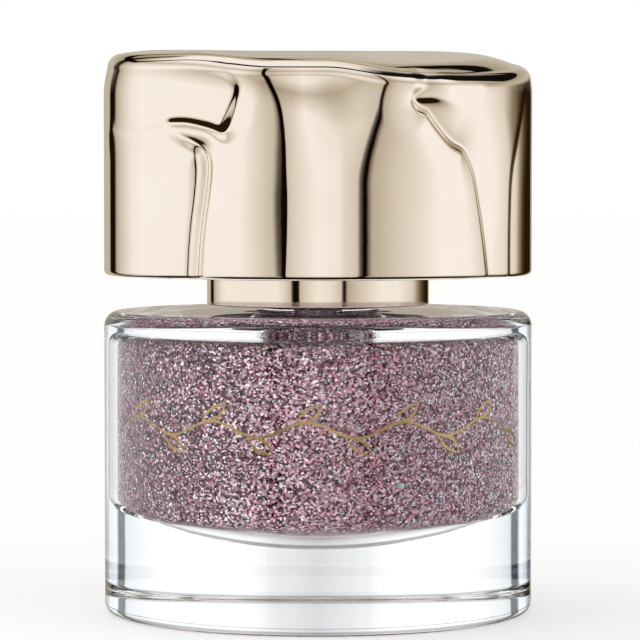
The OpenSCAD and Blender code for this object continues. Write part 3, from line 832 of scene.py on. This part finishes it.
def studio_light():
    """White studio: soft panels all round, two narrow black cards in front and dark flags behind."""
    world = bpy.data.worlds.new("studio")
    bpy.context.scene.world = world
    world.use_nodes = True
    tree = world.node_tree
    background = tree.nodes["Background"]

    def node(kind, **settings):
        made = tree.nodes.new(kind)
        for key, value in settings.items():
            setattr(made, key, value)
        return made

    def link(source, socket):
        tree.links.new(source, socket)

    def maths(operation, first, second=0.0):
        made = node("ShaderNodeMath", operation=operation)
        for socket, value in zip(made.inputs, (first, second)):
            if isinstance(value, bpy.types.NodeSocket):
                link(value, socket)
            else:
                socket.default_value = value
        return made.outputs[0]

    def ramp(factor, stops):
        made = node("ShaderNodeValToRGB")
        fill_ramp(made.color_ramp, stops, "LINEAR")
        link(factor, made.inputs["Fac"])
        return made.outputs["Color"]

    def mix(factor, first, second):
        made = node("ShaderNodeMix", data_type="RGBA")
        link(factor, made.inputs["Factor"])
        for name, value in (("A", first), ("B", second)):
            socket = [s for s in made.inputs if s.name == name and s.type == "RGBA"][0]
            if isinstance(value, bpy.types.NodeSocket):
                link(value, socket)
            else:
                socket.default_value = value
        return [s for s in made.outputs if s.type == "RGBA"][0]

    def smooth(value, low, high):
        made = node("ShaderNodeMapRange", interpolation_type="SMOOTHSTEP")
        link(value, made.inputs["Value"])
        made.inputs["From Min"].default_value = low
        made.inputs["From Max"].default_value = high
        return made.outputs["Result"]

    def times(first, second):
        made = node("ShaderNodeVectorMath", operation="MULTIPLY")
        link(first, made.inputs[0])
        link(second, made.inputs[1])
        return made.outputs[0]

    direction = node("ShaderNodeTexCoord").outputs["Generated"]
    parts = node("ShaderNodeSeparateXYZ")
    link(direction, parts.inputs["Vector"])
    x, y, z = parts.outputs
    azimuth = maths("ARCTAN2", x, maths("MULTIPLY", y, -1.0))
    lap = maths("ADD", maths("DIVIDE", azimuth, 2 * math.pi), 0.5)
    around = ramp(lap, [((a + 180) / 360, warm(level)) for a, level in STUDIO_ROUND])
    off_front = maths("DIVIDE", maths("ABSOLUTE", azimuth), math.pi)
    through_round = ramp(off_front, [(a / 180, colour) for a, colour in STUDIO_THROUGH])
    level = maths("ADD", maths("MULTIPLY", z, 0.5), 0.5)
    share = ramp(level, [((h + 1) / 2, warm(part)) for h, part in STUDIO_HEIGHT])
    through_back, through_front = [
        ramp(level, [((h + 1) / 2, neutral(part)) for h, part in stops])
        for stops in (STUDIO_THROUGH_BACK, STUDIO_THROUGH_FRONT)
    ]
    behind = ramp(z, [(h, warm(part)) for h, part in STUDIO_BEHIND])

    # The cards and panels end overhead, where one broad panel hangs over the object
    overhead = mix(smooth(z, 0.7, 0.84), times(around, share), share)
    # On the left the flags stand up to the strip, on the right they stay low
    backward = maths("SUBTRACT", y, maths("MULTIPLY", smooth(x, 0.1, -0.1), 0.75))
    panelled = mix(maths("MULTIPLY", smooth(backward, 0.0, 0.2), smooth(z, 0.02, 0.2)), overhead, behind)
    back = maths("MINIMUM", maths("MAXIMUM", maths("ADD", y, 0.1), 0.0), 0.65)
    along = maths("DIVIDE", maths("ADD", z, maths("MULTIPLY", back, 0.7)), 1.5)
    strips = [
        ramp(along, [(h / 1.5, neutral(part)) for h, part in stops])
        for stops in (STUDIO_STRIP_LEFT, STUDIO_STRIP_RIGHT)
    ]
    strip = mix(smooth(x, 0.15, 0.35), *strips)
    # What is seen through the glass has its own brightness, and the camera itself sees plain white
    paths = node("ShaderNodeLightPath").outputs
    through = times(through_round, mix(smooth(y, 0.0, 0.12), through_front, through_back))
    seen = mix(paths["Is Transmission Ray"], times(panelled, strip), through)
    seen = mix(paths["Is Camera Ray"], seen, (1, 1, 1, 1))
    link(seen, background.inputs["Color"])
    background.inputs["Strength"].default_value = 1.0


def floor():
    """Plain pale floor."""
    half = 3.0
    below = 0.02 * MM
    material = bpy.data.materials.new("pale_floor")
    material.use_nodes = True
    surface = material.node_tree.nodes["Principled BSDF"]
    surface.inputs["Base Color"].default_value = (0.86, 0.88, 0.91, 1)
    surface.inputs["Roughness"].default_value = 0.9
    surface.inputs["Specular IOR Level"].default_value = 0.1
    surface.inputs["Emission Color"].default_value = (1, 1, 1, 1)
    surface.inputs["Emission Strength"].default_value = 0.5
    corners = [(-half, -half, 0), (half, -half, 0), (half, half, 0), (-half, half, 0)]
    piece = mesh_piece("floor", corners, [(0, 1, 2, 3)], material)
    piece.location.z = -below
    piece.visible_glossy = False
    piece.visible_transmission = False


def camera():
    """A long lens a little above the shoulder, looking slightly down."""
    # Focal length and sensor in mm, which is Blender's own unit for them
    focal_length, sensor_width = 196.875, 36.0
    widths_away, looking_down = 8.1929, 2.5455
    height, side = 49.15 * MM, 0.22 * MM
    data = bpy.data.cameras.new("camera")
    data.sensor_width = sensor_width
    data.lens = focal_length
    piece = bpy.data.objects.new("camera", data)
    bpy.context.scene.collection.objects.link(piece)
    piece.location = (side, -widths_away * glass_width, height)
    piece.rotation_euler = (math.radians(90 - looking_down), 0, 0)
    bpy.context.scene.camera = piece


def view_settings():
    """Plain tones, and enough bounces for light to get through the thick glass."""
    scene = bpy.context.scene
    scene.view_settings.view_transform = "Standard"
    scene.cycles.max_bounces = 24
    scene.cycles.transmission_bounces = 24
    scene.cycles.glossy_bounces = 8


# ---------------------------------------------------------------- the object

def give(node, material):
    """Puts a material on a CAD node."""
    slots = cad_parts[node].material_slots
    for slot in slots:
        slot.material = material
    if not slots:
        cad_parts[node].data.materials.append(material)


overcap_shell(gold_plating())
glass_bottle(clear_glass(), wetted_glass())
polish(glitter_lacquer())
foil_vine(foil())
collar(gold_sleeve())
give("mixing_balls", metal("ball_steel", (0.6, 0.6, 0.61), (0.7, 0.7, 0.71), 0.08, 0.2 * MM))
give("seal_liner", moulded_plastic("liner_foam", (0.8, 0.8, 0.77), (0.86, 0.86, 0.83), 0.7, 0.12 * MM))
give("brush_cap", moulded_plastic("satin_black_plastic", (0.012, 0.011, 0.012), (0.02, 0.018, 0.02), 0.38))
give("brush_stem", moulded_plastic("stem_plastic", (0.76, 0.76, 0.73), (0.84, 0.84, 0.81), 0.34))
give("tuft_anchor", metal("anchor_wire", (0.55, 0.42, 0.2), (0.66, 0.52, 0.28), 0.25, 0.3 * MM))
give("overcap_insert", moulded_plastic("insert_plastic", (0.6, 0.58, 0.53), (0.68, 0.66, 0.61), 0.45))
give("overcap_weight", metal("weight_steel", (0.4, 0.42, 0.44), (0.52, 0.53, 0.55), 0.3, 0.4 * MM))
tuft_low, tuft_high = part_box("brush_tuft")
bristles(bristle_fibre(tuft_low.z, tuft_high.z))

studio_light()
floor()
camera()
view_settings()
